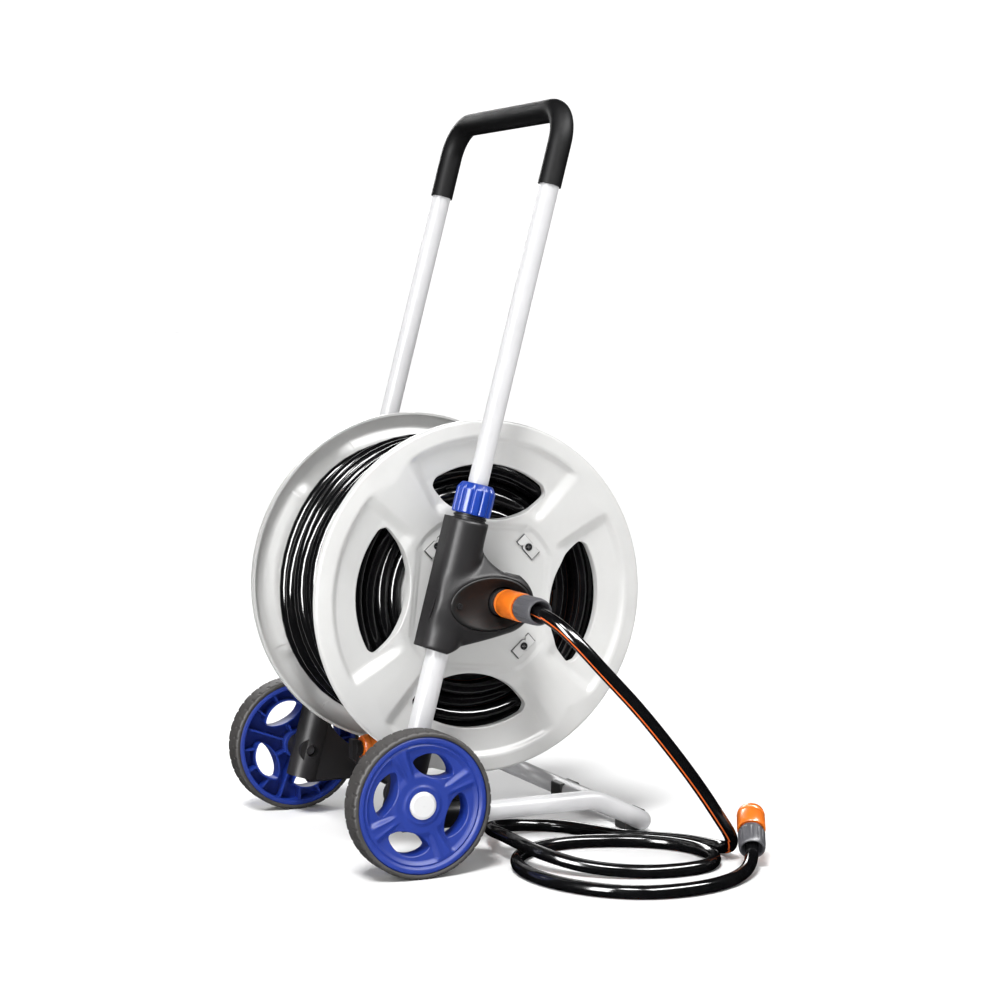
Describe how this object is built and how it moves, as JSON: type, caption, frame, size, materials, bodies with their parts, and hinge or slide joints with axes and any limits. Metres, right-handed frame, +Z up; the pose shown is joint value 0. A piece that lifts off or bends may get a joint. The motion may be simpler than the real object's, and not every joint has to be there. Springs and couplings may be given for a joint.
{
  "type": "garden hose reel cart",
  "caption": "Wheeled cart with a crank-turned hose drum, telescoping U handle, tube foot, quick connectors and a loose feed hose.",
  "frame": {"origin": "middle of the cart's footprint on the floor, without the loose feed hose and what is on it", "axes": "+X from the wheels to the foot, +Y from the water inlet side to the crank side, +Z up"},
  "size_m": [0.4586, 0.6457, 0.835],
  "materials": {
    "tube_white": "white powder coat, semi-gloss",
    "pad_rubber": "matte",
    "moulded_charcoal": "fine moulded texture, satin",
    "steel": "zinc plated",
    "beam_black": "black powder coat",
    "bush_grey": "satin",
    "grip_black": "matte",
    "nut_blue": "semi-gloss",
    "wheel_blue": "semi-gloss",
    "tyre": "matte rubber",
    "cap_white": "semi-gloss",
    "flange_grey": "satin",
    "hose_black": "glossy",
    "fitting_black": "satin",
    "connector_orange": "semi-gloss",
    "connector_grey": "satin"
  },
  "bodies": {
    "frame": {"axle_bracket_far": "moulded_charcoal", "axle_bracket_near": "moulded_charcoal", "axle_rings": "steel", "bearing_bush_far": "bush_grey", "bearing_bush_near": "bush_grey", "bracket_screws": "steel", "clamp_collet_far": "bush_grey", "clamp_collet_near": "bush_grey", "cover_screws": "steel", "cross_beam": "beam_black", "feed_hose": "hose_black", "foot_pad_far": "pad_rubber", "foot_pad_near": "pad_rubber", "foot_tube": "tube_white", "hose_end_holder": "moulded_charcoal", "hub_bracket_far": "moulded_charcoal", "hub_bracket_near": "moulded_charcoal", "hub_cover_far": "moulded_charcoal", "hub_cover_near": "moulded_charcoal", "inlet_connector": "connector_orange", "inlet_nut": "connector_grey", "inlet_stem": "fitting_black", "lower_tube_far": "tube_white", "lower_tube_near": "tube_white", "outlet_connector": "connector_orange", "outlet_nut": "connector_grey", "outlet_tail": "hose_black", "stem_seal": "pad_rubber", "stub_axle_far": "steel", "stub_axle_near": "steel", "tap_connector": "connector_orange", "tap_nut": "connector_grey"},
    "handle": {"handle_tube": "tube_white", "handle_grip": "grip_black", "guide_bushes": "bush_grey"},
    "clamp_nut_near_body": {"clamp_nut_near": "nut_blue"},
    "clamp_nut_far_body": {"clamp_nut_far": "nut_blue"},
    "drum": {"drum_core": "flange_grey", "flange_near": "flange_grey", "flange_far": "flange_grey", "clip_plates": "flange_grey", "flange_screws": "steel", "wound_hose": "hose_black", "inlet_shaft": "fitting_black", "swivel_elbow": "fitting_black", "crank_shaft": "fitting_black", "crank_arm": "moulded_charcoal", "crank_bolt": "steel", "knob_pin": "steel"},
    "knob": {"crank_knob": "fitting_black"},
    "wheel_near": {"wheel_rim_near": "wheel_blue", "tyre_near": "tyre", "hub_cap_near": "cap_white"},
    "wheel_far": {"wheel_rim_far": "wheel_blue", "tyre_far": "tyre", "hub_cap_far": "cap_white"},
    "inlet_release": {"inlet_sleeve": "connector_orange"},
    "tap_release": {"tap_sleeve": "connector_orange"},
    "outlet_release": {"outlet_sleeve": "connector_orange"}
  },
  "joints": [
    {"name": "handle_slide", "type": "slide", "parent": "frame", "child": "handle", "axis": [0.2568, 0, 0.9665], "range_m": [-0.2, 0]},
    {"name": "clamp_nut_near_turn", "type": "hinge", "parent": "frame", "child": "clamp_nut_near_body", "pos_m": [-0.03756, -0.146, 0.39727], "axis": [0.2568, 0, 0.9665], "range_deg": [0, 270]},
    {"name": "clamp_nut_far_turn", "type": "hinge", "parent": "frame", "child": "clamp_nut_far_body", "pos_m": [-0.03756, 0.146, 0.39727], "axis": [0.2568, 0, 0.9665], "range_deg": [0, 270]},
    {"name": "drum_turn", "type": "hinge", "parent": "frame", "child": "drum", "pos_m": [-0.00995, 0, 0.2847], "axis": [0, 1, 0], "continuous": true},
    {"name": "crank_knob_turn", "type": "hinge", "parent": "drum", "child": "knob", "pos_m": [0.04255, 0.217, 0.19377], "axis": [0, 1, 0], "continuous": true},
    {"name": "wheel_near_turn", "type": "hinge", "parent": "frame", "child": "wheel_near", "pos_m": [-0.12385, -0.1915, 0.0793], "axis": [0, 1, 0], "continuous": true},
    {"name": "wheel_far_turn", "type": "hinge", "parent": "frame", "child": "wheel_far", "pos_m": [-0.12385, 0.1915, 0.0793], "axis": [0, 1, 0], "continuous": true},
    {"name": "inlet_sleeve_slide", "type": "slide", "parent": "frame", "child": "inlet_release", "axis": [0, -1, 0], "range_m": [0, 0.004], "stiffness_N_per_m": 800, "springref_m": -0.004},
    {"name": "tap_sleeve_slide", "type": "slide", "parent": "frame", "child": "tap_release", "axis": [-0.4196, -0.7553, -0.5035], "range_m": [0, 0.004], "stiffness_N_per_m": 800, "springref_m": -0.004},
    {"name": "outlet_sleeve_slide", "type": "slide", "parent": "frame", "child": "outlet_release", "axis": [1, 0, 0], "range_m": [0, 0.004], "stiffness_N_per_m": 800, "springref_m": -0.004}
  ]
}
